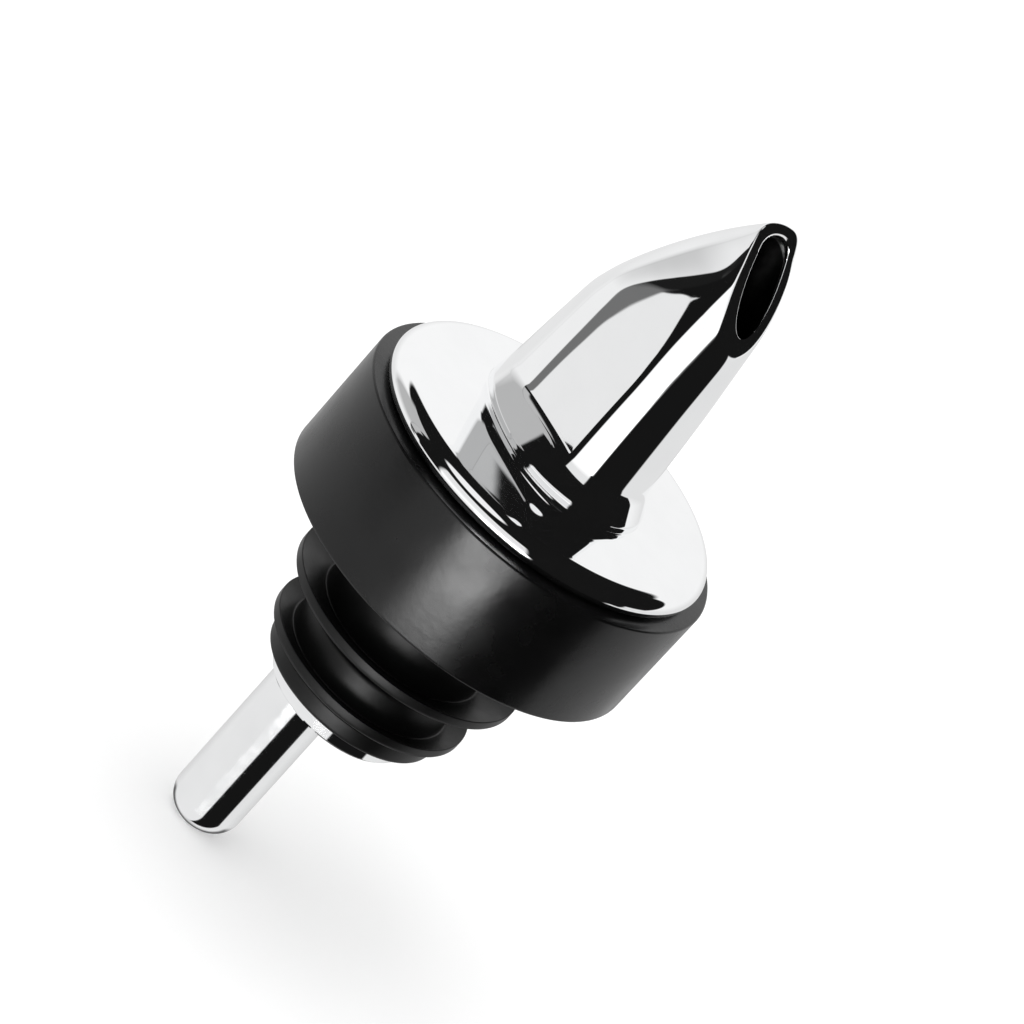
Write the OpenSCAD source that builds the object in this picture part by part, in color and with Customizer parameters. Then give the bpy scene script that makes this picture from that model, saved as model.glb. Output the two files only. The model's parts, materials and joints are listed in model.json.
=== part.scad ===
// Liquor pourer: a plated spout on a flange and stem, its breather tube, a collar and a finned stopper.
// The origin is the centre of the upper sealing fin's rim, where the stopper grips the bottle's neck.
// +Z points up out of the bottle, and +X is the way that the spout's mouth faces.

/* [Stopper] */
// Diameter of the upper fin's rim, which seals in the bottle's neck
upper_fin_d = 23.2; // [21:0.1:26]
// Diameter of the lower fin's rim
lower_fin_d = 20.1; // [18.5:0.1:22]
// Height of a fin's rim
fin_rim_h = 1; // [0.5:0.1:1.4]
// Distance from the upper fin to the lower fin
fin_pitch = 5.4; // [4.8:0.1:7]
// Slope of a fin's upper face, in degrees
fin_top_slope = 23; // [10:1:35]
// Slope of a fin's underside, in degrees
fin_under_slope = 43; // [36:1:50]
// Wall of the stopper's core around the stem
core_wall = 0.9; // [0.6:0.1:1.6]
// How far the bottom lip stands out from the core
bottom_lip_out = 0.75; // [0.3:0.05:1.2]
// Height of the bottom lip's straight band
bottom_lip_h = 0.8; // [0.5:0.1:1.6]
// Height of the lead-in below the bottom lip
lead_in_h = 0.6; // [0.4:0.1:2]
// Distance from the upper fin down to the stopper's bottom
stopper_depth = 8.75; // [8:0.25:14]

/* [Collar] */
// Diameter of the collar
collar_d = 35.2; // [34:0.2:40]
// Height of the collar
collar_h = 11.25; // [8:0.05:14]
// Thickness of the collar's skirt
skirt_wall = 2; // [1.2:0.1:3]
// Thickness of the collar's web, which lies on the bottle's lip
web_t = 2.6; // [2:0.1:4]
// Depth of the recess in the web that takes the stopper's top
recess_depth = 1; // [0.5:0.1:1.2]
// Radius of the collar's outer edges
collar_edge_r = 0.5; // [0.2:0.1:0.8]
// Distance from the upper fin up to the seat on the bottle's lip
lip_to_fin = 16; // [13:0.05:22]

/* [Flange] */
// Diameter of the flange
flange_d = 32.9; // [31:0.1:33.6]
// Thickness of the flange at its round rim
flange_t = 2.25; // [1.6:0.05:3]
// How far the flange's top rises from its rim to its middle
dome_rise = 0.55; // [0.3:0.05:1]
// Distance from the axis to the back of the egg-shaped pedestal under the spout
pedestal_back = 10.1; // [9.9:0.05:11]
// Distance from the axis to the front of the pedestal
pedestal_front = 9.15; // [8.8:0.05:10]
// Distance from the axis forward to the pedestal's widest place
pedestal_mid = 1.5; // [0:0.1:2.5]
// Width of the pedestal
pedestal_w = 14; // [12.5:0.1:17]
// Height of the pedestal's edge above the collar
pedestal_z = 3.3; // [3.1:0.1:4.5]
// Rounding of the pedestal's edge
pedestal_edge_r = 0.35; // [0.1:0.05:0.6]

/* [Spout] */
// Height of the shoulder's top above the collar, where the spout's flat sides start
shoulder_z = 5.4; // [4.8:0.1:7]
// Distance from the axis to the spout's back at the shoulder
back_reach = 9.8; // [9:0.05:10]
// Distance from the axis to the spout's front at the shoulder
front_reach = 7.75; // [7.4:0.05:8.6]
// Width of the spout across its sides, at the shoulder
spout_w = 9.75; // [9:0.05:11]
// Length of the spout's round back, as a share of its half width
back_full = 1.25; // [1:0.05:1.4]
// Length of the spout's round nose, as a share of its half width
nose_full = 0.75; // [0.6:0.05:1]
// Lean of the spout's back below the crown, in degrees
back_lean = 6.5; // [3:0.5:9]
// Height above the collar where the back breaks forward into the crown
crown_z = 14.7; // [12:0.1:16]
// Lean of the crown where it starts, in degrees
crown_lean = 18.3; // [10:0.1:20]
// Radius of the crown's curve up to the tip
crown_r = 42.5; // [38:0.5:50]
// Lean of the spout's front, in degrees
front_lean = 5; // [2:0.5:6]
// Draft of the spout's sides at the shoulder, in degrees
side_draft = 2.45; // [1:0.05:3]
// Radius of the sides' slight curve inward up to the tip
side_r = 260; // [220:10:400]
// Height of the middle of the mouth above the collar
mouth_z = 26.5; // [24:0.25:28]
// Distance from the axis forward to the middle of the mouth
mouth_x = 3.4; // [3:0.05:4]
// Slope of the mouth's face above the horizontal, in degrees
mouth_slope = 63.2; // [60:0.1:68]
// Thickness of the spout's side walls
side_wall = 0.8; // [0.7:0.05:1.4]
// Thickness of the spout's front wall
front_wall = 0.7; // [0.6:0.05:1.2]
// Thickness of the spout's crown
crown_wall = 1.05; // [0.9:0.05:1.6]

/* [Stem and waterways] */
// Diameter of the stem
stem_d = 14.3; // [14.2:0.1:15]
// How far the stem shows below the stopper
stem_show = 1.45; // [0.4:0.05:3]
// Diameter of the liquid's way up the stem
liquid_d = 6; // [4:0.1:6.1]
// Distance from the axis forward to the liquid's way
liquid_x = 3.55; // [3.5:0.05:3.8]
// Diameter of the air's way above the breather tube
air_way_d = 3; // [2:0.1:4]
// Diameter of the air inlet in the spout's back
air_inlet_d = 1.8; // [1:0.1:2.4]
// Height of the air inlet above the collar
air_inlet_z = 7.5; // [7:0.1:9]

/* [Breather tube] */
// Outside diameter of the breather tube
tube_d = 6.8; // [5:0.1:6.9]
// Wall of the breather tube
tube_wall = 0.6; // [0.4:0.05:1]
// Distance from the axis back to the breather tube
tube_x = 3.4; // [3.3:0.05:3.45]
// Length of the tube that shows below the stem
tube_show = 19.15; // [8:0.05:40]
// Length of the tube pressed into the stem
tube_grip = 12; // [6:0.5:16]
// Radius that rounds the tube's closed tip
tip_r = 2.4; // [1.5:0.1:2.5]
// Diameter of the hole in the middle of the tip
tip_hole_d = 1.6; // [0.8:0.1:1.8]

/* [Fits] */
// Radial clearance of the stem in the collar and in the stopper
stem_gap = 0.05; // [0.02:0.01:0.09]
// Radial clearance of the breather tube in its socket
tube_gap = 0.02; // [0.01:0.01:0.05]
// Clearance of the stopper's top in the collar's recess
recess_gap = 0.15; // [0.05:0.05:0.3]

/* [Hidden] */

$fn = 96;
// Overlap that keeps a cut clear of the face it starts from
over = 1;
// Steps in each half of the spout's outline, and along its height
outline_steps = 20;
height_steps = 22;
// Least length of an outline's round front
front_least = 0.3;

stem_r = stem_d / 2;
core_r = stem_r + core_wall;
collar_r = collar_d / 2;
collar_z = lip_to_fin + web_t;
stem_bottom_z = -stopper_depth - stem_show;
stem_len = collar_z - stem_bottom_z;
tube_r = tube_d / 2;
tube_top_z = stem_bottom_z + tube_grip;
tube_tip_z = stem_bottom_z - tube_show;
rim_r = flange_t / 2;
rim_centre_r = flange_d / 2 - rim_r;
dome_r = (rim_centre_r * rim_centre_r + dome_rise * dome_rise) / (2 * dome_rise);

// Spout outline at a height z above the collar
crown_start_x = -back_reach + (crown_z - shoulder_z) * tan(back_lean);
function crown_angle(z) = z < crown_z ? back_lean : asin(sin(crown_lean) + (z - crown_z) / crown_r);
function back_x(z) = z < crown_z
    ? -back_reach + (z - shoulder_z) * tan(back_lean)
    : crown_start_x + crown_r * (cos(crown_lean) - cos(crown_angle(z)));
function front_x(z) = front_reach - (z - shoulder_z) * tan(front_lean);
function half_w(z) = let(rise = z - shoulder_z)
    spout_w / 2 - rise * tan(side_draft) - rise * rise / (2 * side_r);
function mouth_face_x(z) = mouth_x + (mouth_z - z) / tan(mouth_slope);

// Height where the spout's back meets the mouth's face, by halving the stretch that holds it
function tip_z(low, high, steps) = let(mid = (low + high) / 2)
    steps == 0 ? mid
    : back_x(mid) < mouth_face_x(mid) ? tip_z(mid, high, steps - 1)
    : tip_z(low, mid, steps - 1);
spout_tip_z = tip_z(mouth_z, mouth_z + spout_w, 24);
loft_top_z = spout_tip_z + over;

// One closed outline: a round front, a round back and straight sides between them
function outline(back, front, half, back_round, front_round) = concat(
    [for (i = [0 : outline_steps]) let(a = -90 + 180 * i / outline_steps)
        [front - front_round + front_round * cos(a), half * sin(a)]],
    [for (i = [0 : outline_steps]) let(a = 90 + 180 * i / outline_steps)
        [back + back_round + back_round * cos(a), half * sin(a)]]
);
// Outline of the spout inside a wall, forward of the plane x = rear_limit
function spout_outline(z, side, front, crown, rear_limit) = let(
    half = half_w(z) - side,
    slant = cos(crown_angle(z)),
    x0 = max(back_x(z) + crown / slant, rear_limit),
    x1 = front_x(z) - front,
    back_round = min(back_full * half / slant, x1 - x0 - front_least),
    front_round = min(nose_full * half, x1 - x0 - back_round)
) outline(x0, x1, half, back_round, front_round);
function pedestal_outline(inset) = let(
    x0 = inset - pedestal_back,
    x1 = pedestal_front - inset
) outline(x0, x1, pedestal_w / 2 - inset, pedestal_mid - x0, x1 - pedestal_mid);

// Solid between stacked outlines, each a pair of a height and its points
module loft(layers) {
    count = len(layers[0][1]);
    last = len(layers) - 1;
    points = [for (layer = layers) for (p = layer[1]) [p.x, p.y, layer[0]]];
    sides = [
        for (k = [0 : last - 1]) for (i = [0 : count - 1]) let(
            j = (i + 1) % count,
            low = k * count,
            high = low + count
        ) each [[low + i, high + i, high + j], [low + i, high + j, low + j]]
    ];
    bottom = [for (i = [0 : count - 1]) i];
    top = [for (i = [count - 1 : -1 : 0]) last * count + i];
    polyhedron(points, concat(sides, [bottom, top]));
}

// Pedestal, sloped shoulder and spout as one form, before the mouth is cut
module spout_form() {
    pedestal = [
        [flange_t / 2, pedestal_outline(0)],
        [pedestal_z - pedestal_edge_r, pedestal_outline(0)],
        for (a = [30, 60, 90])
            [pedestal_z - pedestal_edge_r * (1 - sin(a)), pedestal_outline(pedestal_edge_r * (1 - cos(a)))]
    ];
    spout = [
        for (i = [0 : height_steps]) let(z = shoulder_z + (loft_top_z - shoulder_z) * i / height_steps)
            [z, spout_outline(z, 0, 0, 0, -back_reach)]
    ];
    loft(concat(pedestal, spout));
}

// Half space in front of the mouth's sloped face
module mouth_cut() {
    reach = 2 * back_reach + spout_tip_z;
    translate([mouth_x, 0, mouth_z])
        rotate([0, mouth_slope, 0])
            translate([-reach, -reach, 0])
                cube(2 * reach);
}

// Liquid's way from the stem's bore up to the mouth, in front of the breather tube
module spout_passage() {
    rear = liquid_x - liquid_d / 2;
    floor_z = flange_t;
    loft([
        for (i = [0 : height_steps]) let(
            z = floor_z + (loft_top_z - floor_z) * i / height_steps,
            inner = max(z, shoulder_z)
        ) [z, spout_outline(inner, side_wall, front_wall, crown_wall, rear)]
    ]);
}

// Flange with a full round rim and a slightly domed top, and the stem below it
module flange_and_stem() {
    rotate_extrude() {
        translate([rim_centre_r, rim_r])
            circle(rim_r);
        square([rim_centre_r, flange_t]);
        intersection() {
            translate([0, flange_t + dome_rise - dome_r])
                circle(dome_r, $fn = 360);
            translate([0, rim_r])
                square([rim_centre_r, flange_t]);
        }
        translate([0, -stem_len])
            square([stem_r, stem_len]);
    }
}

module spout_body() {
    color("gainsboro")
        translate([0, 0, collar_z])
            difference() {
                union() {
                    flange_and_stem();
                    difference() {
                        spout_form();
                        mouth_cut();
                    }
                }
                spout_passage();
                translate([liquid_x, 0, -stem_len - over])
                    cylinder(d = liquid_d, h = stem_len + flange_t + 2 * over);
                translate([-tube_x, 0, -stem_len - over])
                    cylinder(r = tube_r + tube_gap, h = tube_grip + over);
                translate([-tube_x, 0, -stem_len])
                    cylinder(d = air_way_d, h = stem_len + air_inlet_z);
                translate([-tube_x, 0, air_inlet_z])
                    rotate([0, -90, 0])
                        cylinder(d = air_inlet_d, h = back_reach);
            }
}

// Straight tube with a rounded closed tip and a small hole through it
module breather_tube() {
    inner_tip_z = tube_tip_z + tube_wall;
    color("silver")
        translate([-tube_x, 0, 0])
            difference() {
                rotate_extrude()
                    tube_profile(tube_r, tip_r, tube_tip_z, tube_top_z);
                rotate_extrude()
                    tube_profile(tube_r - tube_wall, tip_r - tube_wall, inner_tip_z, tube_top_z + over);
                translate([0, 0, tube_tip_z - over])
                    cylinder(d = tip_hole_d, h = tube_wall + 2 * over);
            }
}

// Half outline of a rod whose lower end has a rounded edge
module tube_profile(r, round_r, tip_z, top_z) {
    translate([0, tip_z + round_r])
        square([r, top_z - tip_z - round_r]);
    translate([0, tip_z])
        square([r - round_r, round_r]);
    intersection() {
        translate([r - round_r, tip_z + round_r])
            circle(round_r);
        translate([r - round_r, tip_z])
            square(round_r);
    }
}

// Cap of a collar: a web on the bottle's lip and a skirt around it, open below
module collar() {
    skirt_r = collar_r - skirt_wall;
    edge_x = collar_r - collar_edge_r;
    color("#1c1c1c")
        translate([0, 0, collar_z - collar_h])
            difference() {
                rotate_extrude() {
                    square([edge_x, collar_h]);
                    translate([0, collar_edge_r])
                        square([collar_r, collar_h - 2 * collar_edge_r]);
                    for (y = [collar_edge_r, collar_h - collar_edge_r])
                        translate([edge_x, y])
                            circle(collar_edge_r);
                }
                translate([0, 0, -over])
                    cylinder(r = skirt_r, h = collar_h - web_t + over);
                translate([0, 0, collar_h - web_t - over])
                    cylinder(r = core_r + recess_gap, h = recess_depth + over);
                cylinder(r = stem_r + stem_gap, h = collar_h + over);
            }
}

// Half outline of a fin that flares up and out from the core
module fin_profile(fin_r, z) {
    out = fin_r - core_r;
    low = z - fin_rim_h / 2;
    high = z + fin_rim_h / 2;
    polygon([
        [stem_r, low - out * tan(fin_under_slope)],
        [core_r, low - out * tan(fin_under_slope)],
        [fin_r, low],
        [fin_r, high],
        [core_r, high - out * tan(fin_top_slope)],
        [stem_r, high - out * tan(fin_top_slope)]
    ]);
}

// Hollow stopper with two upturned fins and a lip at the bottom
module stopper() {
    lip_r = core_r + bottom_lip_out;
    lip_z = -stopper_depth + lead_in_h;
    top_z = lip_to_fin + recess_depth;
    color("#141414")
        difference() {
            rotate_extrude() {
                translate([0, lip_z])
                    square([core_r, top_z - lip_z]);
                fin_profile(upper_fin_d / 2, 0);
                fin_profile(lower_fin_d / 2, -fin_pitch);
                polygon([
                    [0, -stopper_depth],
                    [stem_r + core_wall / 2, -stopper_depth],
                    [lip_r, lip_z],
                    [lip_r, lip_z + bottom_lip_h],
                    [core_r, lip_z + bottom_lip_h + bottom_lip_out],
                    [0, lip_z + bottom_lip_h + bottom_lip_out]
                ]);
            }
            translate([0, 0, -stopper_depth - over])
                cylinder(r = stem_r + stem_gap, h = top_z + stopper_depth + 2 * over);
        }
}

spout_body();
breather_tube();
collar();
stopper();
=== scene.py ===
"""Liquor pourer: a plated spout with a breather tube, a collar and a finned stopper."""

import json
import math

import bmesh
import bpy
from mathutils import Matrix, Vector


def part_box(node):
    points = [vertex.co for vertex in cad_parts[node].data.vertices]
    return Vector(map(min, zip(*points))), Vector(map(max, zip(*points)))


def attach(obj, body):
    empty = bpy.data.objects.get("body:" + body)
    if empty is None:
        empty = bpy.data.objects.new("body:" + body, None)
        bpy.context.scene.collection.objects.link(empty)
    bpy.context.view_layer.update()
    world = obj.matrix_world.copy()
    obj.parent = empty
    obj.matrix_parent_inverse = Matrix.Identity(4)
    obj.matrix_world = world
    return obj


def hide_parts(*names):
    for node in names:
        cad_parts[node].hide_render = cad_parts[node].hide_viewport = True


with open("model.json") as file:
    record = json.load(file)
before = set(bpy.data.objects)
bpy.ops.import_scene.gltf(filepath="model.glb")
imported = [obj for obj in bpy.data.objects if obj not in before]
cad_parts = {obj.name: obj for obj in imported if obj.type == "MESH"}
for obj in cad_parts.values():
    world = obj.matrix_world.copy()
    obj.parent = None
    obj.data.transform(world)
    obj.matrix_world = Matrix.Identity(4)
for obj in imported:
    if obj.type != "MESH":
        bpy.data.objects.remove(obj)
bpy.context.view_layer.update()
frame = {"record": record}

MM = 0.001
UP = Vector((0, 0, 1))


def mm_box(node):
    """Lowest and highest corner of a CAD node, in millimetres."""
    low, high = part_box(node)
    return low / MM, high / MM


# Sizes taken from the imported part, in millimetres
COLLAR_LOW, COLLAR_HIGH = mm_box("collar")
SPOUT_LOW, SPOUT_HIGH = mm_box("spout_body")
TUBE_LOW, TUBE_HIGH = mm_box("breather_tube")
STOPPER_LOW, STOPPER_HIGH = mm_box("stopper")
MOUNTS = {mount["name"]: mount for mount in frame["record"]["mounts"]}

COLLAR_Z = COLLAR_HIGH.z
COLLAR_R = COLLAR_HIGH.x
FLANGE_R = SPOUT_HIGH.x
TUBE_R = (TUBE_HIGH.y - TUBE_LOW.y) / 2
TUBE_X = (TUBE_HIGH.x + TUBE_LOW.x) / 2
STEM_LEN = COLLAR_Z - SPOUT_LOW.z
SOCKET_DEPTH = TUBE_HIGH.z - SPOUT_LOW.z
LIP_Z = MOUNTS["lip_seat"]["pos_m"][2] / MM
UPPER_FIN_R = MOUNTS["bottle_neck"]["dims"]["r_mm"]
LOWER_FIN_R = MOUNTS["lower_fin"]["dims"]["r_mm"]
LOWER_FIN_Z = MOUNTS["lower_fin"]["pos_m"][2] / MM
FIN_RIM_H = MOUNTS["bottle_neck"]["dims"]["length_mm"]

# Flange, pedestal and stem, in millimetres above the collar's top
FLANGE_T = 2.25
FLANGE_EDGE_IN = 1.7
FLANGE_EDGE_DROP = 1.35
FLANGE_EDGE_R = FLANGE_R - FLANGE_EDGE_IN
DOME_RISE = 0.58
PEDESTAL_BACK = 10.1
PEDESTAL_FRONT = 9.15
PEDESTAL_MID = 1.5
PEDESTAL_W = 14.0
PEDESTAL_Z = 3.3
PEDESTAL_EDGE = 0.2
PEDESTAL_FILLET = 0.2
STEM_R = 7.15
STEM_CHAMFER = 0.25
LIQUID_R = 3.0
LIQUID_X = 3.55
SOCKET_GAP = 0.02
SOCKET_OVERCUT = 1.0
AIR_WAY_R = 1.5
AIR_INLET_R = 0.9
AIR_INLET_Z = 7.5

# Spout, in millimetres above the collar's top
SHOULDER_Z = 5.4
SHOULDER_FILLET = 0.6
BACK_REACH = 9.8
FRONT_REACH = 7.75
SPOUT_W = 9.75
BACK_FULL = 1.25
NOSE_FULL = 0.75
BACK_LEAN = math.radians(6.5)
CROWN_Z = 14.7
CROWN_LEAN = math.radians(18.3)
CROWN_BLEND = 0.8
CROWN_R = 42.5
FRONT_LEAN = math.radians(5)
SIDE_DRAFT = math.radians(2.45)
SIDE_R = 260.0
WAIST_Z = 21.7
WAIST_LENGTH = 3.4
WAIST_DEPTH = 0.045
MOUTH_Z = 26.5
MOUTH_X = 3.4
MOUTH_SLOPE = math.radians(63.2)
SIDE_WALL = 1.0
FRONT_WALL = 0.7
CROWN_WALL = 1.05
PASSAGE_NOSE = 1.5
PASSAGE_NOSE_SHARE = 0.6
RIM_ROUND = 0.5
RIM_SHARE = 0.6
RIM_SPREAD = ((20.5, 1.0), (22.5, 0.8), (24.5, 0.25), (26.0, 0.0), (33.0, 0.0))
HOLE_ROUND = 0.25
HOLE_SHARE = 0.3

# Loft of the spout's cheeks: heights and places along X, and slopes towards the middle
CHEEK_BACK = (
    (5.4, -3.95), (11.0, -3.95), (15.5, -3.95), (17.2, -3.9), (18.2, -3.5), (19.7, -2.5),
    (21.8, -0.85), (23.5, 0.5), (25.0, 1.6), (26.0, 2.0), (28.0, 2.05), (33.0, 2.05),
)
FLAT_BACK = (
    (5.4, -2.75), (9.7, -2.6), (12.0, -2.37), (14.65, -2.04), (16.7, -1.25), (18.56, -0.45),
    (20.43, 0.3), (21.57, 1.2), (23.08, 2.3), (24.5, 2.9), (26.0, 3.0), (33.0, 3.0),
)
FLAT_NOSE = (
    (5.4, 3.8), (10.4, 3.7), (14.6, 3.5), (16.7, 3.3), (18.85, 2.75), (20.27, 2.2),
    (21.85, 1.6), (23.1, 1.2), (26.0, 1.0), (33.0, 1.0),
)
NOSE_SLOPE = ((5.4, 0.0), (13.0, 0.0), (15.0, 0.01), (17.0, 0.05), (19.0, 0.08), (33.0, 0.08))
BACK_SLOPE = 0.079
NOSE_GROWTH = 0.009
NOSE_GROWTH_Z = 13.7
NOSE_GAP = 0.1

# Breather tube, in millimetres
TUBE_WALL = 0.6
TUBE_HOLE_R = 0.8
TUBE_TIP_ROUND = 2.4

# Collar and stopper, in millimetres
BORE_R = STEM_R + 0.05
CORE_R = STEM_R + 0.9
SKIRT_WALL = 2.0
RECESS_GAP = 0.15
RECESS_DEPTH = 1.0
FOOT_R = STEM_R + 0.45
LIP_R = CORE_R + 0.75
LIP_TAPER = 0.6
LIP_H = 1.5
FIN_TOP_SLOPE = math.tan(math.radians(23))
FIN_UNDER_SLOPE = math.tan(math.radians(27))

# Counts of mesh steps: round the spout, up it, and round what is turned
FRONT_STEPS = 64
SIDE_STEPS = 40
BACK_STEPS = 72
COLUMNS = FRONT_STEPS + BACK_STEPS + 2 * SIDE_STEPS
DOME_STEPS = 22
LOWER_STEPS = 14
UPPER_STEPS = 44
PASSAGE_STEPS = 44
CORNER_STEPS = 8
TIP_STEPS = 24
LATHE_STEPS = 160
ROD_STEPS = 80

# Marks on the casting's mesh for where shade is painted inside its holes, the least edge in metres,
# and what counts as sharp
PASSAGE = "passage"
BORED = "bored"
LEAST_EDGE = 1e-7
SHARP_ANGLE = math.radians(40)


# Curves and meshes

def arc(centre, radii, start, end, steps):
    """Points of an elliptic arc in a plane, with its ends, between two angles in degrees."""
    points = []
    for i in range(steps + 1):
        a = math.radians(start + (end - start) * i / steps)
        points.append((centre[0] + radii[0] * math.cos(a), centre[1] + radii[1] * math.sin(a)))
    return points


def eased(before, corner, after):
    """Points of a curve that leaves one line for another, tangent to both, round their corner."""
    points = []
    for i in range(CORNER_STEPS + 1):
        t = i / CORNER_STEPS
        points.append(before * (1 - t) ** 2 + corner * (2 * t * (1 - t)) + after * t ** 2)
    return points


def rounded(corners):
    """Closed outline through corners (r, z, reach), each eased over its reach on both sides."""
    points = []
    count = len(corners)
    for i, (r, z, reach) in enumerate(corners):
        corner = Vector((r, z))
        last = Vector(corners[i - 1][:2])
        following = Vector(corners[(i + 1) % count][:2])
        before = corner + (last - corner).normalized() * reach
        after = corner + (following - corner).normalized() * reach
        points += eased(before, corner, after)
    return points


def mesh_piece(name, vertices, faces):
    """New object from points in millimetres, smooth shaded except over sharp edges."""
    mesh = bpy.data.meshes.new(name)
    mesh.from_pydata([Vector(v) * MM for v in vertices], [], faces)
    mesh.validate()
    mesh.polygons.foreach_set("use_smooth", [True] * len(mesh.polygons))
    mesh.set_sharp_from_angle(angle=SHARP_ANGLE)
    piece = bpy.data.objects.new(name, mesh)
    bpy.context.scene.collection.objects.link(piece)
    return piece


def ring_faces(rows, columns):
    """Faces of a closed sheet: a stack of closed rows, the last joined to the first."""
    faces = []
    for row in range(rows):
        above = (row + 1) % rows
        for column in range(columns):
            beside = (column + 1) % columns
            faces.append((
                row * columns + column,
                row * columns + beside,
                above * columns + beside,
                above * columns + column,
            ))
    return faces


def lathe(name, outline, centre_x=0.0):
    """Solid turned from a closed outline of (r, z) points about an upright axis."""
    vertices = []
    for r, z in outline:
        for i in range(LATHE_STEPS):
            a = 2 * math.pi * i / LATHE_STEPS
            vertices.append((centre_x + r * math.cos(a), r * math.sin(a), z))
    return mesh_piece(name, vertices, ring_faces(len(outline), LATHE_STEPS))


def rod(name, radius, start, end):
    """Plain round cutter between two points in millimetres, which marks the walls that it cuts."""
    start, end = Vector(start), Vector(end)
    along = (end - start).normalized()
    side = along.orthogonal().normalized()
    other = along.cross(side)
    vertices = []
    for point in (start, end):
        for i in range(ROD_STEPS):
            a = 2 * math.pi * i / ROD_STEPS
            vertices.append(point + (side * math.cos(a) + other * math.sin(a)) * radius)
    faces = []
    for i in range(ROD_STEPS):
        beside = (i + 1) % ROD_STEPS
        faces.append((i, beside, ROD_STEPS + beside, ROD_STEPS + i))
    faces.append(tuple(reversed(range(ROD_STEPS))))
    faces.append(tuple(range(ROD_STEPS, 2 * ROD_STEPS)))
    piece = mesh_piece(name, vertices, faces)
    bored = piece.data.attributes.new(BORED, "FLOAT", "FACE")
    bored.data.foreach_set("value", [1.0] * len(faces))
    return piece


def cut(piece, cutter):
    """Takes a cutter's shape out of a piece, and deletes the cutter."""
    modifier = piece.modifiers.new("cut", "BOOLEAN")
    modifier.operation = "DIFFERENCE"
    modifier.solver = "EXACT"
    modifier.object = cutter
    depsgraph = bpy.context.evaluated_depsgraph_get()
    mesh = bpy.data.meshes.new_from_object(piece.evaluated_get(depsgraph))
    piece.modifiers.clear()
    old = piece.data
    piece.data = mesh
    mesh.name = piece.name
    bpy.data.meshes.remove(old)
    bpy.data.objects.remove(cutter)


def clean_cuts(piece):
    """Joins points that the cuts left almost on top of each other, and sharpens the holes' rims."""
    work = bmesh.new()
    work.from_mesh(piece.data)
    bmesh.ops.dissolve_degenerate(work, dist=LEAST_EDGE, edges=work.edges)
    work.to_mesh(piece.data)
    work.free()
    piece.data.set_sharp_from_angle(angle=SHARP_ANGLE)


# Spout form, in millimetres above the collar's top

def crown_angle(z):
    """Lean of the spout's back at a height, eased where the crown starts."""
    crown = math.asin(math.sin(CROWN_LEAN) + (max(z, CROWN_Z) - CROWN_Z) / CROWN_R)
    share = min(max((z - CROWN_Z + CROWN_BLEND) / (2 * CROWN_BLEND), 0), 1)
    return BACK_LEAN + (crown - BACK_LEAN) * share


def back_x(z):
    """How far along X the spout's back lies at a height, eased where the crown starts."""
    start = -BACK_REACH + (CROWN_Z - SHOULDER_Z) * math.tan(BACK_LEAN)
    straight = start + (z - CROWN_Z) * math.tan(BACK_LEAN)
    eased_rise = z - CROWN_Z + CROWN_BLEND
    if eased_rise < 0:
        return straight
    if eased_rise < 2 * CROWN_BLEND:
        bend = math.tan(CROWN_LEAN) - math.tan(BACK_LEAN)
        return straight + bend * eased_rise ** 2 / (4 * CROWN_BLEND)
    return start + CROWN_R * (math.cos(CROWN_LEAN) - math.cos(crown_angle(z)))


def front_x(z):
    """How far along X the spout's front lies at a height."""
    return FRONT_REACH - (z - SHOULDER_Z) * math.tan(FRONT_LEAN)


def half_width(z):
    """Half of the spout's width at a height, with a slight waist below the mouth."""
    rise = z - SHOULDER_Z
    share = min(max((z - WAIST_Z) / WAIST_LENGTH, 0), 1)
    waist = WAIST_DEPTH * share ** 2 * (3 - 2 * share)
    return SPOUT_W / 2 - rise * math.tan(SIDE_DRAFT) - rise ** 2 / (2 * SIDE_R) - waist


def mouth_face_x(z):
    """How far along X the mouth's sloped face lies at a height."""
    return MOUTH_X + (MOUTH_Z - z) / math.tan(MOUTH_SLOPE)


def table_value(table, z):
    """Value of a table of (height, value) at a height, on a smooth curve through its rows."""
    last = len(table) - 2
    i = min(max(sum(row[0] <= z for row in table) - 1, 0), last)
    (z0, v0), (z1, v1) = table[i], table[i + 1]
    rise = z1 - z0
    step = (v1 - v0) / rise
    before = (v0 - table[i - 1][1]) / (z0 - table[i - 1][0]) if i > 0 else step
    after = (table[i + 2][1] - v1) / (table[i + 2][0] - z1) if i < last else step
    t = min(max((z - z0) / rise, 0), 1)
    start = (before + step) / 2 * rise
    end = (step + after) / 2 * rise
    return (
        v0 * (1 + 2 * t) * (1 - t) ** 2 + start * t * (1 - t) ** 2
        + v1 * t ** 2 * (3 - 2 * t) - end * t ** 2 * (1 - t)
    )


def side_places(start, end):
    """Evenly spaced places along X for one side, without the last."""
    return [start + (end - start) * i / SIDE_STEPS for i in range(SIDE_STEPS)]


def round_end(end, join, width, slope):
    """Part of an ellipse that ends at a place along X and joins a side with a slope at another.

    Gives its centre, both of its radii and the angle that it runs to on either side.
    """
    length = abs(end - join)
    offset = slope * length ** 2 / (width - 2 * length * slope)
    radius = length + offset
    centre = end + (radius if join > end else -radius)
    share = offset / radius
    return centre, radius, width / math.sqrt(1 - share ** 2), math.degrees(math.acos(share))


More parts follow.
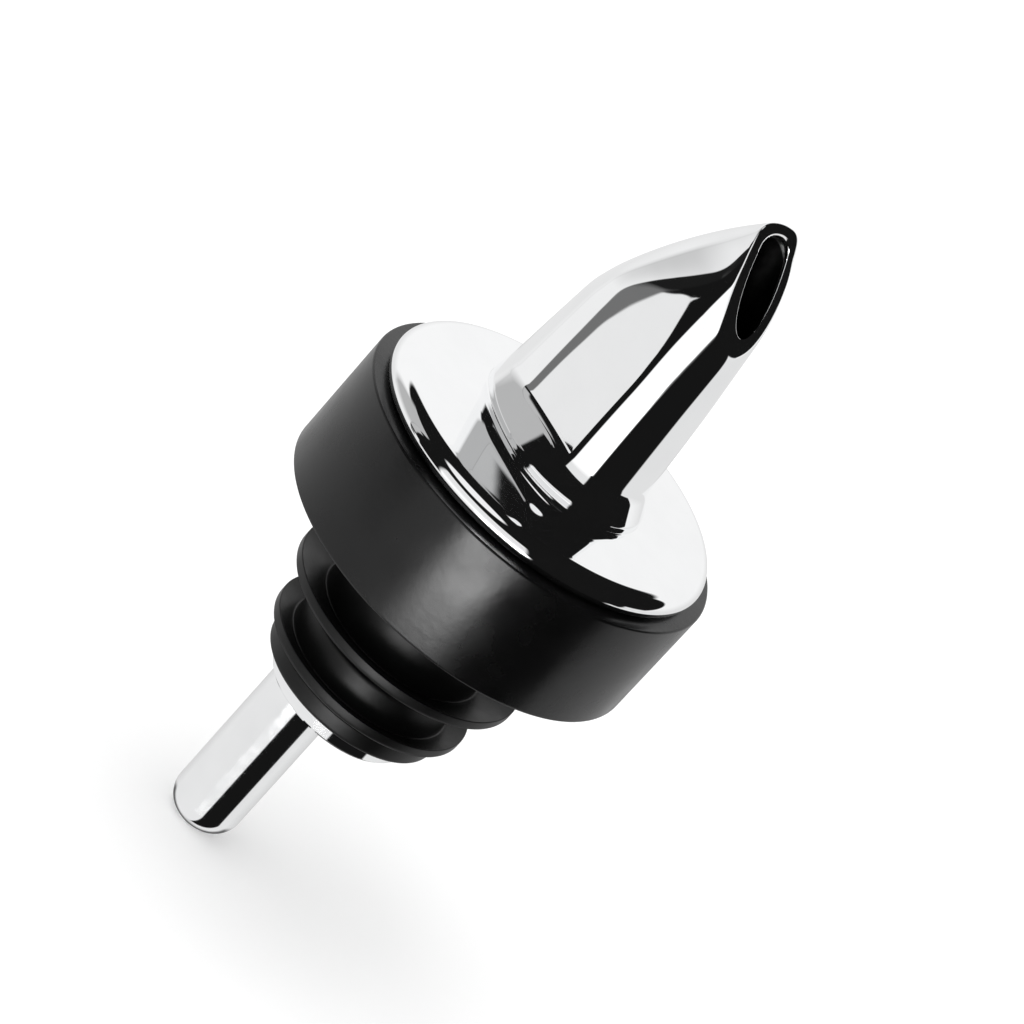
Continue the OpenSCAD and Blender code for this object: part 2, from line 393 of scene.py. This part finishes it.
def cheek_outline(z):
    """Outline of the spout's outside at a height: round nose, nearly flat cheeks, round back."""
    half = half_width(z)
    back, front = back_x(z), front_x(z)
    nose_full = NOSE_FULL + NOSE_GROWTH * max(z - NOSE_GROWTH_Z, 0)
    nose_start = front - nose_full * half
    nose_slope = table_value(NOSE_SLOPE, z)
    back_start = table_value(CHEEK_BACK, z)
    flat_back = min(table_value(FLAT_BACK, z), nose_start - NOSE_GAP)
    flat_nose = max(table_value(FLAT_NOSE, z), flat_back)

    def side(x):
        if x > flat_nose:
            return half - nose_slope * (x - flat_nose) ** 2 / (2 * (nose_start - flat_nose))
        if x < flat_back:
            return half - BACK_SLOPE * (flat_back - x) ** 2 / (2 * (flat_back - back_start))
        return half

    centre, radius, width, angle = round_end(front, nose_start, side(nose_start), nose_slope)
    points = arc((centre, 0), (radius, width), -angle, angle, FRONT_STEPS)[:-1]
    points += [(x, side(x)) for x in side_places(nose_start, back_start)]
    centre, radius, width, angle = round_end(back, back_start, side(back_start), BACK_SLOPE)
    points += arc((centre, 0), (radius, width), 180 - angle, 180 + angle, BACK_STEPS)[:-1]
    points += [(x, -side(x)) for x in side_places(back_start, nose_start)]
    return points


def passage_outline(z):
    """Outline of the liquid's way at a height, drawn in from the spout by its walls."""
    z = max(z, SHOULDER_Z)
    half = half_width(z) - SIDE_WALL
    slant = math.cos(crown_angle(z))
    back = max(back_x(z) + CROWN_WALL / slant, LIQUID_X - LIQUID_R)
    front = front_x(z) - FRONT_WALL
    front_round = min(PASSAGE_NOSE * half, PASSAGE_NOSE_SHARE * (front - back))
    back_round = min(BACK_FULL * half / slant, front - back - front_round)
    front_start, back_start = front - front_round, back + back_round
    points = arc((front_start, 0), (front_round, half), -90, 90, FRONT_STEPS)[:-1]
    points += [(x, half) for x in side_places(front_start, back_start)]
    points += arc((back_start, 0), (back_round, half), 90, 270, BACK_STEPS)[:-1]
    points += [(x, -half) for x in side_places(back_start, front_start)]
    return points


def pedestal_outline():
    """Outline of the egg-shaped pedestal, each point out from the spout's own at the shoulder."""
    points = []
    for x, y in cheek_outline(SHOULDER_Z):
        along = Vector((x - PEDESTAL_MID, y)).normalized()
        length = PEDESTAL_FRONT - PEDESTAL_MID if along.x > 0 else PEDESTAL_BACK + PEDESTAL_MID
        reach = 1 / math.hypot(along.x / length, along.y / (PEDESTAL_W / 2))
        points.append((PEDESTAL_MID + along.x * reach, along.y * reach))
    return points


class Generator:
    """The line that one point of an outline follows up the spout."""

    SEARCH_MARGIN = 1.5
    HALVINGS = 40
    SLOPE_STEP = 0.01

    def __init__(self, outline_at, column):
        self.outline_at = outline_at
        self.column = column

    def point(self, z):
        """Point of the line at a height."""
        x, y = self.outline_at(z)[self.column]
        return Vector((x, y, z))

    def mouth_z(self):
        """Height where the line meets the mouth's face."""
        low, high = SHOULDER_Z, SPOUT_HIGH.z - COLLAR_Z + self.SEARCH_MARGIN
        for _ in range(self.HALVINGS):
            middle = (low + high) / 2
            if self.point(middle).x < mouth_face_x(middle):
                low = middle
            else:
                high = middle
        return low

    def below(self, z, distance):
        """Height of the point that lies a distance down the line from a height."""
        step = self.SLOPE_STEP
        slope = (self.point(z) - self.point(z - step)).length / step
        return z - distance / slope


# Casting, one loop of points for each column of its mesh

def flange_top(r):
    """Height of the flange's slightly domed top at a radius."""
    return FLANGE_T + DOME_RISE * (1 - (r / FLANGE_EDGE_R) ** 2)


def flange_points(at, wall_r):
    """Flange: the underside's edge, a round rim, and the domed top as far as the pedestal."""
    low_round = FLANGE_T - FLANGE_EDGE_DROP
    low_centre = (FLANGE_R - low_round, low_round)
    rim = arc(low_centre, (low_round, low_round), -90, 0, CORNER_STEPS)
    high_centre = (FLANGE_EDGE_R, low_round)
    rim += arc(high_centre, (FLANGE_EDGE_IN, FLANGE_EDGE_DROP), 0, 90, 2 * CORNER_STEPS)[1:]
    points = [at(r, z) for r, z in rim]
    reach = FLANGE_EDGE_R - wall_r - PEDESTAL_FILLET
    for i in range(1, DOME_STEPS):
        r = FLANGE_EDGE_R - reach * i / DOME_STEPS
        points.append(at(r, flange_top(r)))
    return points


def pedestal_points(at, wall_r, outer):
    """Pedestal: a fillet at its foot, a rounded edge, and the shoulder up to the spout."""
    foot = at(wall_r, flange_top(wall_r))
    edge = at(wall_r, PEDESTAL_Z)
    base = outer.point(SHOULDER_Z)
    slope = (base - edge).normalized()
    fillet_r = wall_r + PEDESTAL_FILLET
    return [
        *eased(at(fillet_r, flange_top(fillet_r)), foot, foot + UP * PEDESTAL_FILLET),
        *eased(edge - UP * PEDESTAL_EDGE, edge, edge + slope * PEDESTAL_EDGE),
        *eased(base - slope * SHOULDER_FILLET, base, outer.point(SHOULDER_Z + SHOULDER_FILLET)),
    ]


def beak_points(outer, inner):
    """Spout up to its mouth, the mouth's rim, and the liquid's way down to the flange."""
    mouth_z = outer.mouth_z()
    mouth = outer.point(mouth_z)
    rim_start_z = outer.below(mouth_z, RIM_ROUND + table_value(RIM_SPREAD, mouth_z))
    stretches = (
        (SHOULDER_Z + SHOULDER_FILLET, CROWN_Z - CROWN_BLEND, LOWER_STEPS),
        (CROWN_Z - CROWN_BLEND, CROWN_Z + CROWN_BLEND, CORNER_STEPS),
        (CROWN_Z + CROWN_BLEND, rim_start_z, UPPER_STEPS),
    )
    points = []
    for low_z, high_z, steps in stretches:
        rise = high_z - low_z
        points += [outer.point(low_z + rise * i / steps) for i in range(1, steps + 1)]

    # The rim starts at the spout's last point, so that one is left to it
    points.pop()
    hole_z = inner.mouth_z()
    hole = inner.point(hole_z)
    inward = (hole - mouth).normalized()
    wall = (hole - mouth).length
    rim = min(RIM_ROUND, wall * RIM_SHARE)
    lip = min(HOLE_ROUND, wall * HOLE_SHARE)
    hole_start_z = inner.below(hole_z, lip)
    points += eased(outer.point(rim_start_z), mouth, mouth + inward * rim)
    points += eased(hole - inward * lip, hole, inner.point(hole_start_z))
    drop = FLANGE_T - hole_start_z
    for i in range(1, PASSAGE_STEPS + 1):
        points.append(inner.point(hole_start_z + drop * i / PASSAGE_STEPS))
    return points


def casting_column(column, pedestal):
    """One loop of the casting: up its outside from the stem's end, and down the liquid's way."""
    angle = math.atan2(pedestal[column][1], pedestal[column][0])
    radial = Vector((math.cos(angle), math.sin(angle), 0))
    wall_r = Vector(pedestal[column]).length
    outer = Generator(cheek_outline, column)
    inner = Generator(passage_outline, column)

    def at(r, z):
        return radial * r + UP * z

    def bore(z):
        return Vector((LIQUID_X, 0, z)) + radial * LIQUID_R

    return [
        bore(-STEM_LEN),
        at(STEM_R - STEM_CHAMFER, -STEM_LEN),
        at(STEM_R, -STEM_LEN + STEM_CHAMFER),
        at(STEM_R, 0),
        *flange_points(at, wall_r),
        *pedestal_points(at, wall_r, outer),
        *beak_points(outer, inner),
        bore(FLANGE_T),
    ]


# Pieces

def build_spout():
    """Plated casting: stem, flange, pedestal and beak, with the ways of liquid and air."""
    pedestal = pedestal_outline()
    columns = [casting_column(column, pedestal) for column in range(COLUMNS)]
    rows = len(columns[0])
    lift = UP * COLLAR_Z
    vertices = [columns[column][row] + lift for row in range(rows) for column in range(COLUMNS)]
    piece = mesh_piece("spout_casting", vertices, ring_faces(rows, COLUMNS))

    # The last rows are the liquid's way
    passage_start = (rows - PASSAGE_STEPS - 1) * COLUMNS
    passage = piece.data.attributes.new(PASSAGE, "FLOAT", "POINT")
    passage.data.foreach_set("value", [float(i >= passage_start) for i in range(len(vertices))])
    piece.data.attributes.new(BORED, "FLOAT", "FACE")

    def on_axis(z):
        return (TUBE_X, 0, z)

    low = SPOUT_LOW.z
    inlet_z = COLLAR_Z + AIR_INLET_Z
    inlet_end = (TUBE_X - BACK_REACH, 0, inlet_z)
    cutters = (
        ("socket", TUBE_R + SOCKET_GAP, on_axis(low - SOCKET_OVERCUT), on_axis(low + SOCKET_DEPTH)),
        ("air_way", AIR_WAY_R, on_axis(low + SOCKET_DEPTH / 2), on_axis(inlet_z)),
        ("air_inlet", AIR_INLET_R, on_axis(inlet_z), inlet_end),
    )
    for cutter in cutters:
        cut(piece, rod(*cutter))
    clean_cuts(piece)
    return piece


def build_tube():
    """Breather tube with a rounded tip and a small hole through it."""
    inner_round = TUBE_TIP_ROUND - TUBE_WALL
    tip = TUBE_LOW.z
    centre = (TUBE_R - TUBE_TIP_ROUND, tip + TUBE_TIP_ROUND)
    return lathe("breather_tube_plated", [
        (TUBE_HOLE_R, tip),
        *arc(centre, (TUBE_TIP_ROUND, TUBE_TIP_ROUND), -90, 0, TIP_STEPS),
        (TUBE_R, TUBE_HIGH.z),
        (TUBE_R - TUBE_WALL, TUBE_HIGH.z),
        *arc(centre, (inner_round, inner_round), 0, -90, TIP_STEPS),
        (TUBE_HOLE_R, tip + TUBE_WALL),
    ], TUBE_X)


def build_collar():
    """Plastic collar: a web with a recess for the stopper's top, and a skirt."""
    skirt_r = COLLAR_R - SKIRT_WALL
    recess_r = CORE_R + RECESS_GAP
    recess_z = LIP_Z + RECESS_DEPTH

    # Corners as (r, z, reach of the rounding)
    return lathe("collar_moulded", rounded([
        (BORE_R, COLLAR_Z, 0.1),
        (BORE_R, recess_z, 0.1),
        (recess_r, recess_z, 0.1),
        (recess_r, LIP_Z, 0.15),
        (skirt_r, LIP_Z, 0.4),
        (skirt_r, COLLAR_LOW.z, 0.3),
        (COLLAR_R, COLLAR_LOW.z, 0.3),
        (COLLAR_R, COLLAR_Z, 0.2),
    ]))


def build_stopper():
    """Flexible stopper with two upturned fins and a lip at the bottom."""
    lip_low = STOPPER_LOW.z + LIP_TAPER
    lip_high = lip_low + LIP_H

    def underside(fin_r, z, r):
        return z - FIN_RIM_H / 2 - (fin_r - r) * FIN_UNDER_SLOPE

    def fin(fin_r, z):
        high = z + FIN_RIM_H / 2
        return [
            (fin_r, underside(fin_r, z, fin_r), 0.3),
            (fin_r, high, 0.15),
            (CORE_R, high - (fin_r - CORE_R) * FIN_TOP_SLOPE, 0.3),
        ]

    # The lip's top slopes in until it meets the lower fin's underside
    notch = (underside(LOWER_FIN_R, LOWER_FIN_Z, LIP_R) - lip_high) / (1 + FIN_UNDER_SLOPE)

    # Corners as (r, z, reach of the rounding)
    return lathe("stopper_moulded", rounded([
        (BORE_R, STOPPER_HIGH.z, 0.1),
        (BORE_R, STOPPER_LOW.z, 0.1),
        (FOOT_R, STOPPER_LOW.z, 0.2),
        (LIP_R, lip_low, 0.3),
        (LIP_R, lip_high, 0.1),
        (LIP_R - notch, lip_high + notch, 0.1),
        *fin(LOWER_FIN_R, LOWER_FIN_Z),
        (CORE_R, underside(UPPER_FIN_R, 0, CORE_R), 0.6),
        *fin(UPPER_FIN_R, 0),
        (CORE_R, STOPPER_HIGH.z, 0.1),
    ]))


# Materials, with noise scales in cycles per metre and depths in metres

NOISE_LOW, NOISE_HIGH = 0.3, 0.7
# Near-black colour, with its roughness, painted inside the holes as shade
PAINTED_HOLE_SHADE = ((0.004, 0.004, 0.004), (0.008, 0.008, 0.008))
HOLE_ROUGH = (0.5, 0.7)
PLATE_TINT_SCALE = 260
HOLE_SHADE_SCALE = 700
HAZE_SCALE = 900
WAVE_SCALE, WAVE_STRENGTH, WAVE_DEPTH = 300, 0.008, 0.0001
PLASTIC_TINT_SCALE = 180
CLOUD_SCALE = 240
GRAIN_SCALE, GRAIN_STRENGTH, GRAIN_DEPTH = 1500, 0.25, 0.00003


def new_material(name):
    """New material, with its node tree and its Principled shader."""
    material = bpy.data.materials.new(name)
    material.use_nodes = True
    tree = material.node_tree
    return material, tree, tree.nodes["Principled BSDF"]


def math_node(tree, operation, *values):
    """Math node over sockets and plain numbers."""
    node = tree.nodes.new("ShaderNodeMath")
    node.operation = operation
    for socket, value in zip(node.inputs, values):
        if isinstance(value, (int, float)):
            socket.default_value = value
        else:
            tree.links.new(value, socket)
    return node.outputs["Value"]


def map_range(tree, value, start, end, low, high):
    """Value that runs from one number to another while its source runs from start to end."""
    node = tree.nodes.new("ShaderNodeMapRange")
    limits = {"From Min": start, "From Max": end, "To Min": low, "To Max": high}
    for name, number in limits.items():
        node.inputs[name].default_value = number
    tree.links.new(value, node.inputs["Value"])
    return node.outputs["Result"]


def noise(tree, scale, detail=3.0):
    """Noise texture over the object's own coordinates."""
    node = tree.nodes.new("ShaderNodeTexNoise")
    node.inputs["Scale"].default_value = scale
    node.inputs["Detail"].default_value = detail
    place = tree.nodes.new("ShaderNodeTexCoord").outputs["Object"]
    tree.links.new(place, node.inputs["Vector"])
    return node.outputs["Fac"]


def number_ramp(tree, value, low, high):
    """Spreads a noise over a range of numbers."""
    return map_range(tree, value, NOISE_LOW, NOISE_HIGH, low, high)


def colour_ramp(tree, value, low, high):
    """Spreads a noise over a range of colours."""
    node = tree.nodes.new("ShaderNodeValToRGB")
    ends = ((NOISE_LOW, low), (NOISE_HIGH, high))
    for element, (position, colour) in zip(node.color_ramp.elements, ends):
        element.position = position
        element.color = (*colour, 1)
    tree.links.new(value, node.inputs["Fac"])
    return node.outputs["Color"]


def mix_colour(tree, share, first, second):
    """Mixes two sockets by a share."""
    node = tree.nodes.new("ShaderNodeMixRGB")
    for name, socket in (("Fac", share), ("Color1", first), ("Color2", second)):
        tree.links.new(socket, node.inputs[name])
    return node.outputs["Color"]


def mark(tree, name):
    """Value of a mark on the mesh, 0 where there is none."""
    node = tree.nodes.new("ShaderNodeAttribute")
    node.attribute_name = name
    return node.outputs["Fac"]


def bump(tree, shader, height, strength, depth):
    """Fine relief on a shader from a height."""
    node = tree.nodes.new("ShaderNodeBump")
    node.inputs["Strength"].default_value = strength
    node.inputs["Distance"].default_value = depth
    tree.links.new(height, node.inputs["Height"])
    tree.links.new(node.outputs["Normal"], shader.inputs["Normal"])


def plated_metal(name, dark, light, rough):
    """Bright plate with a faint haze and fine waviness, and painted shade: a near-black colour
    inside its holes.
    """
    material, tree, shader = new_material(name)
    shader.inputs["Metallic"].default_value = 1.0
    # Painted shade: the liquid's way and the cut holes take a near-black colour in place of the
    # plate
    inside = math_node(tree, "MAXIMUM", mark(tree, PASSAGE), mark(tree, BORED))
    plate = colour_ramp(tree, noise(tree, PLATE_TINT_SCALE), dark, light)
    painted_shade = colour_ramp(tree, noise(tree, HOLE_SHADE_SCALE), *PAINTED_HOLE_SHADE)
    tree.links.new(mix_colour(tree, inside, plate, painted_shade), shader.inputs["Base Color"])
    plate_rough = number_ramp(tree, noise(tree, HAZE_SCALE), *rough)
    hole_rough = number_ramp(tree, noise(tree, HAZE_SCALE), *HOLE_ROUGH)
    tree.links.new(mix_colour(tree, inside, plate_rough, hole_rough), shader.inputs["Roughness"])
    bump(tree, shader, noise(tree, WAVE_SCALE, detail=2), WAVE_STRENGTH, WAVE_DEPTH)
    return material


def moulded_plastic(name, dark, light, rough, gloss):
    """Black moulded plastic with a fine grain and faint cloudy marks."""
    material, tree, shader = new_material(name)
    colour = colour_ramp(tree, noise(tree, PLASTIC_TINT_SCALE), dark, light)
    tree.links.new(colour, shader.inputs["Base Color"])
    clouds = number_ramp(tree, noise(tree, CLOUD_SCALE, detail=5), *rough)
    tree.links.new(clouds, shader.inputs["Roughness"])
    shader.inputs["Specular IOR Level"].default_value = gloss
    bump(tree, shader, noise(tree, GRAIN_SCALE, detail=6), GRAIN_STRENGTH, GRAIN_DEPTH)
    return material


def dress(piece, body, node, material):
    """Gives a piece its material, and lets it ride on a body in place of its CAD node."""
    piece.data.materials.clear()
    piece.data.materials.append(material)
    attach(piece, body)
    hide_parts(node)


dress(
    build_spout(), "spout", "spout_body",
    plated_metal(
        "plated_casting_finish", dark=(0.93, 0.935, 0.94), light=(0.955, 0.96, 0.965),
        rough=(0.015, 0.035),
    ),
)
dress(
    build_tube(), "spout", "breather_tube",
    plated_metal(
        "plated_tube_finish", dark=(0.90, 0.905, 0.91), light=(0.94, 0.945, 0.95),
        rough=(0.05, 0.10),
    ),
)
dress(
    build_collar(), "collar", "collar",
    moulded_plastic(
        "collar_finish", dark=(0.0015, 0.0015, 0.0016), light=(0.003, 0.003, 0.0031),
        rough=(0.19, 0.30), gloss=0.36,
    ),
)
dress(
    build_stopper(), "stopper", "stopper",
    moulded_plastic(
        "stopper_finish", dark=(0.0012, 0.0012, 0.0012), light=(0.0025, 0.0025, 0.0025),
        rough=(0.34, 0.46), gloss=0.28,
    ),
)


# Camera, at the photograph's view: distances in millimetres, angles in degrees

VIEW_TURN = 36.0
VIEW_RISE = 24.85
VIEW_ROLL = 42.06
VIEW_DISTANCE = 374.5
AIM_LEFT = 2.610
AIM_DOWN = 3.098
FOCAL_PX = 4500
IMAGE_PX = 1024
SENSOR_MM = 36.0
CLIP_START = 0.01


def view_axes():
    """Right, up and forward directions of the unrolled camera."""
    turn, rise = math.radians(VIEW_TURN), math.radians(VIEW_RISE)
    right = Vector((math.cos(turn), math.sin(turn), 0))
    level = Vector((-math.sin(turn), math.cos(turn), 0))
    forward = level * math.cos(rise) - UP * math.sin(rise)
    return right, right.cross(forward), forward


def level_axes():
    """Level directions to the camera's right and towards the camera."""
    right, _, forward = view_axes()
    return right, Vector((-forward.x, -forward.y, 0)).normalized()


def build_camera():
    """Camera rolled as the photograph is, aimed past the middle of the collar's top."""
    level_right, level_up, forward = view_axes()
    roll = math.radians(VIEW_ROLL)
    right = level_right * math.cos(roll) + level_up * math.sin(roll)
    up = level_up * math.cos(roll) - level_right * math.sin(roll)
    aim = UP * COLLAR_Z - right * AIM_LEFT - up * AIM_DOWN
    place = aim - forward * VIEW_DISTANCE
    turned = Matrix((right, up, -forward)).transposed().to_4x4()
    data = bpy.data.cameras.new("camera")
    data.sensor_width = SENSOR_MM
    data.lens = FOCAL_PX / IMAGE_PX * SENSOR_MM
    data.clip_start = CLIP_START
    camera = bpy.data.objects.new("camera", data)
    camera.matrix_world = Matrix.Translation(place * MM) @ turned
    bpy.context.scene.collection.objects.link(camera)
    bpy.context.scene.camera = camera


# Floor and lamp, in metres

FLOOR_HALF = 3.0
FLOOR_SHADES = ((0.96, 0.96, 0.96), (0.98, 0.98, 0.98))
FLOOR_TINT_SCALE = 30
FLOOR_ROUGH = 0.9
FLOOR_GLOW = 0.05
LAMP_SIZE = 1.2
LAMP_WATTS = 6.0
LAMP_HEIGHT = 1.5
LAMP_LEFT = 0.5
LAMP_NEAR = 0.3


def build_floor():
    """Plain pale floor under the tube's tip. Metal sees the studio's white table instead."""
    z = TUBE_LOW.z * MM
    corners = [(x * FLOOR_HALF, y * FLOOR_HALF, z) for x, y in ((-1, -1), (1, -1), (1, 1), (-1, 1))]
    mesh = bpy.data.meshes.new("floor")
    mesh.from_pydata(corners, [], [(0, 1, 2, 3)])
    floor = bpy.data.objects.new("floor", mesh)
    bpy.context.scene.collection.objects.link(floor)
    floor.visible_glossy = False
    material, tree, shader = new_material("floor_paper")
    paper = colour_ramp(tree, noise(tree, FLOOR_TINT_SCALE), *FLOOR_SHADES)
    tree.links.new(paper, shader.inputs["Base Color"])
    shader.inputs["Roughness"].default_value = FLOOR_ROUGH
    shader.inputs["Specular IOR Level"].default_value = 0.0
    shader.inputs["Emission Color"].default_value = (1, 1, 1, 1)
    shader.inputs["Emission Strength"].default_value = FLOOR_GLOW
    mesh.materials.append(material)


def build_lamp():
    """Large soft lamp above, left of the object, which metal doesn't see."""
    right, toward = level_axes()
    place = UP * LAMP_HEIGHT - right * LAMP_LEFT + toward * LAMP_NEAR
    data = bpy.data.lights.new("soft_lamp", "AREA")
    data.shape = "DISK"
    data.size = LAMP_SIZE
    data.energy = LAMP_WATTS
    lamp = bpy.data.objects.new("soft_lamp", data)
    lamp.location = place
    lamp.rotation_euler = (-place).to_track_quat("-Z", "Y").to_euler()
    lamp.visible_glossy = False
    bpy.context.scene.collection.objects.link(lamp)


# Studio that metal and plastic reflect, with levels of brightness and edges in degrees

DARK_ROOM = 0.008
PANEL_LEVEL = 0.84
GREY_LEVEL = 0.5
OVERHEAD_LEVEL = 0.92
FAR_TABLE_LEVEL = 0.12
GLOW_LEVEL = 12.5
WALL_EDGE = -79
PANEL_EDGE = -73.5
PANEL_TOP = -10.7
FRONT_EDGE = 22
TABLE_TOP = -21.5
OVERHEAD_LEFT = 0.28
OVERHEAD_NEAR = 0.34
OVERHEAD_RADIUS = math.radians(16.5)
OVERHEAD_SOFT = 0.016
OPEN = (None, None, 0)


class Studio:
    """Brightness of the studio by direction, built up card by card.

    Azimuths run in degrees from the camera's side towards its right, and heights from level.
    """

    def __init__(self, tree, toward, right):
        self.tree = tree
        self.direction = tree.nodes.new("ShaderNodeTexCoord").outputs["Generated"]
        sideways = math_node(tree, "ARCTAN2", self.along(right), self.along(toward))
        self.azimuth = math_node(tree, "DEGREES", sideways)
        self.height = math_node(tree, "DEGREES", math_node(tree, "ARCSINE", self.along(UP)))
        self.shown = DARK_ROOM

    def along(self, axis):
        """How far a direction points along an axis."""
        node = self.tree.nodes.new("ShaderNodeVectorMath")
        node.operation = "DOT_PRODUCT"
        node.inputs[1].default_value = axis
        self.tree.links.new(self.direction, node.inputs[0])
        return node.outputs["Value"]

    def by_height(self, start, end, low, high):
        """Number that runs from one value to another between two heights."""
        return map_range(self.tree, self.height, start, end, low, high)

    def by_azimuth(self, start, end, low, high):
        """Number that runs from one value to another between two azimuths."""
        return map_range(self.tree, self.azimuth, start, end, low, high)

    def band(self, value, low, high, soft):
        """Masks for a value between two limits, each open where it is None.

        Their edges are as soft as one number says, or as a pair for the two limits.
        """
        softs = soft if isinstance(soft, tuple) else (soft, soft)
        masks = []
        for limit, sign, width in ((low, 1, softs[0]), (high, -1, softs[1])):
            if limit is not None:
                start, end = limit - sign * width / 2, limit + sign * width / 2
                edge = map_range(self.tree, value, start, end, 0.0, 1.0)
                edge.node.interpolation_type = "SMOOTHSTEP"
                masks.append(edge)
        return masks

    def card(self, level, azimuth=OPEN, height=OPEN, masks=()):
        """Lays a card of some brightness over what is shown so far, inside its limits."""
        edges = [*self.band(self.azimuth, *azimuth), *self.band(self.height, *height), *masks]
        mask = edges[0]
        for edge in edges[1:]:
            mask = math_node(self.tree, "MULTIPLY", mask, edge)
        self.shown = self.mix(mask, self.shown, level)

    def mix(self, share, first, second):
        """Mixes two brightnesses, each a socket or a number, by a share."""
        node = self.tree.nodes.new("ShaderNodeMix")
        self.tree.links.new(share, node.inputs["Factor"])
        for name, value in (("A", first), ("B", second)):
            if isinstance(value, float):
                node.inputs[name].default_value = value
            else:
                self.tree.links.new(value, node.inputs[name])
        return node.outputs["Result"]


def lay_left_side(studio):
    """Wall at the left, a dark gap, a light panel, and grey cards above the two."""
    outer_wall = studio.by_height(-8, 10, 0.82, 0.97)
    studio.card(outer_wall, azimuth=(None, -112, 6), height=(None, 39, 3))
    near_wall = studio.by_height(-12, 8, 0.90, 0.48)
    studio.card(near_wall, azimuth=(-116, WALL_EDGE, (14, 1.5)), height=(None, 45.6, 0.8))
    gap = studio.by_height(-10.5, -9.3, 0.17, 0.012)
    studio.card(gap, azimuth=(WALL_EDGE, PANEL_EDGE, 1.5), height=(None, -5, 1))
    studio.card(PANEL_LEVEL, azimuth=(PANEL_EDGE, -67.6, 1.2), height=(None, PANEL_TOP, 0.6))
    studio.card(GREY_LEVEL, azimuth=(WALL_EDGE, -71.5, 2), height=(-4, 26, 2))
    studio.card(GREY_LEVEL, azimuth=(WALL_EDGE, -75.9, 0.8), height=(24, 42, 1.5))


def lay_front_and_top(studio, toward, right):
    """Card in front, a little darker above, and a soft panel overhead."""
    front = studio.by_height(-6, 6, 1.07, 0.82)
    studio.card(front, azimuth=(-45, FRONT_EDGE, 4), height=(None, 31, 2))
    overhead = (UP - right * OVERHEAD_LEFT + toward * OVERHEAD_NEAR).normalized()
    limit = math.cos(OVERHEAD_RADIUS)
    disk = studio.band(studio.along(overhead), limit, None, OVERHEAD_SOFT)
    studio.card(OVERHEAD_LEVEL, masks=disk)


def lay_right_wall(studio):
    """Wall at the right, which rises towards the back."""
    top = studio.by_azimuth(106, 142, -3, 36)
    above = math_node(studio.tree, "SUBTRACT", studio.height, top)
    level = studio.by_height(-8, 10, 0.78, 0.95)
    studio.card(level, azimuth=(91, None, 3), masks=studio.band(above, None, 0, 3))


def lay_table(studio, toward):
    """White table, darker far behind, and the glow on it that upright walls mirror."""
    left = studio.by_azimuth(-180, -110, 0.62, 0.84)
    studio.card(left, azimuth=(None, FRONT_EDGE, 4), height=(None, TABLE_TOP, 2))
    right = studio.by_azimuth(110, 180, 0.82, 0.6)
    studio.card(right, azimuth=(84, None, 4), height=(None, TABLE_TOP, 2))
    behind = studio.band(studio.along(toward), None, -0.4, 0.3)
    studio.card(FAR_TABLE_LEVEL, height=(None, -36, 10), masks=behind)
    studio.card(GLOW_LEVEL, azimuth=(-9, 21, 14), height=(-27.9, -12, (1, 8)))


def build_world():
    """Even white world, in which glossy rays see the studio instead."""
    world = bpy.data.worlds.new("studio")
    bpy.context.scene.world = world
    world.use_nodes = True
    tree = world.node_tree
    right, toward = level_axes()
    studio = Studio(tree, toward, right)
    lay_left_side(studio)
    lay_front_and_top(studio, toward, right)
    lay_right_wall(studio)
    lay_table(studio, toward)

    glossy = tree.nodes.new("ShaderNodeLightPath").outputs["Is Glossy Ray"]
    background = tree.nodes["Background"]
    background.inputs["Color"].default_value = (1, 1, 1, 1)
    tree.links.new(studio.mix(glossy, 1.0, studio.shown), background.inputs["Strength"])


build_camera()
build_floor()
build_world()
build_lamp()

bpy.context.scene.view_settings.view_transform = "Standard"
